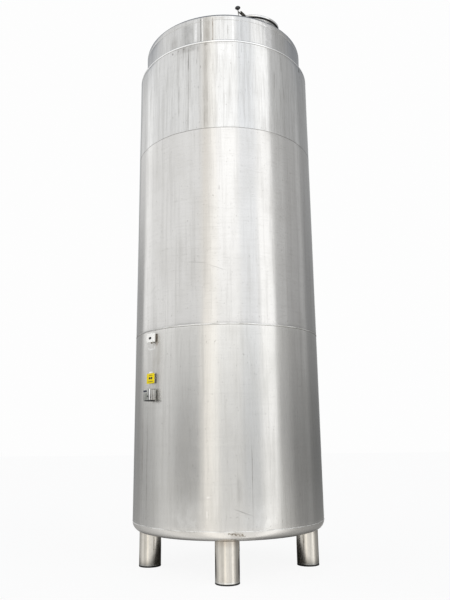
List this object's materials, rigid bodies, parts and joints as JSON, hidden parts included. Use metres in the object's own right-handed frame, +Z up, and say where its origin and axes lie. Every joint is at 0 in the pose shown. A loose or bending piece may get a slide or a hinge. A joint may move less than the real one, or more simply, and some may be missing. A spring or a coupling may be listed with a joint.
{
  "type": "vertical storage tank",
  "caption": "Insulated upright stainless storage tank on tube legs, with a conical roof, hinged round manhole with swing bolt, and small instruments on its jacket.",
  "frame": {"origin": "on the tank axis at floor level, under the centre of the tank", "axes": "+Z up along the tank axis; the front leg stands at -Y and a side leg at +X"},
  "size_m": [1.936, 1.936, 5.8537],
  "materials": {
    "jacket_stainless": "cold-rolled 304 sheet, streaked and slightly rippled",
    "vessel_stainless": "cold-rolled 304 sheet, bright",
    "leg_stainless": "bright drawn tube with a warm cast",
    "lid_stainless": "pressed and polished",
    "fitting_stainless": "pickled, matt grey",
    "bolt_stainless": "turned bar with a rolled thread",
    "housing_stainless": "folded sheet, satin",
    "gasket_rubber": "moulded, matt black",
    "pad_rubber": "moulded, matt black",
    "knob_bakelite": "moulded, semi-gloss black",
    "white_plastic": "fine moulded texture",
    "dark_plastic": "moulded, satin black",
    "label_plastic": "printed film, navy",
    "sign_enamel": "enamelled sheet, yellow"
  },
  "bodies": {
    "tank": {"leg_front": "leg_stainless", "leg_right": "leg_stainless", "leg_back": "leg_stainless", "leg_left": "leg_stainless", "foot_pad_front": "pad_rubber", "foot_pad_right": "pad_rubber", "foot_pad_back": "pad_rubber", "foot_pad_left": "pad_rubber", "jacket_base_pan": "jacket_stainless", "jacket_course_lower": "jacket_stainless", "jacket_course_middle": "jacket_stainless", "jacket_course_upper": "jacket_stainless", "jacket_closing_ring": "jacket_stainless", "vessel_bottom_head": "vessel_stainless", "vessel_bottom_knuckle": "vessel_stainless", "vessel_support_ring": "vessel_stainless", "vessel_shell_lower": "vessel_stainless", "vessel_shell_upper": "vessel_stainless", "roof": "vessel_stainless", "roof_knuckle": "vessel_stainless", "manhole_collar": "vessel_stainless", "lid_hinge_bracket": "fitting_stainless", "lid_hinge_pin": "fitting_stainless", "bolt_clevis": "fitting_stainless", "bolt_clevis_pin": "fitting_stainless", "controller_base": "dark_plastic", "controller_case": "white_plastic", "controller_window": "dark_plastic", "cable_gland": "dark_plastic", "sign_holder": "fitting_stainless", "sign_plate": "sign_enamel", "sign_hook": "white_plastic", "instrument_housing": "housing_stainless", "housing_label": "label_plastic", "housing_side_cover": "housing_stainless"},
    "lid": {"manhole_lid": "lid_stainless", "lid_rim": "lid_stainless", "lid_gasket": "gasket_rubber", "lid_fork": "fitting_stainless", "lid_hinge_lug": "fitting_stainless"},
    "bolt": {"swing_bolt": "bolt_stainless"},
    "knob": {"hand_knob": "knob_bakelite"}
  },
  "joints": [
    {"name": "lid_hinge", "type": "hinge", "parent": "tank", "child": "lid", "pos_m": [0.54138, -0.18404, 5.79663], "axis": [-0.829, 0.5337, 0.1673], "range_deg": [0, 105]},
    {"name": "bolt_swing", "type": "hinge", "parent": "tank", "child": "bolt", "pos_m": [0.19422, -0.69326, 5.70076], "axis": [0.829, -0.5337, -0.1673], "range_deg": [-25, 65]},
    {"name": "knob_turn", "type": "hinge", "parent": "bolt", "child": "knob", "pos_m": [0.19422, -0.69326, 5.70076], "axis": [-0.1272, -0.4711, 0.8728], "continuous": true}
  ]
}
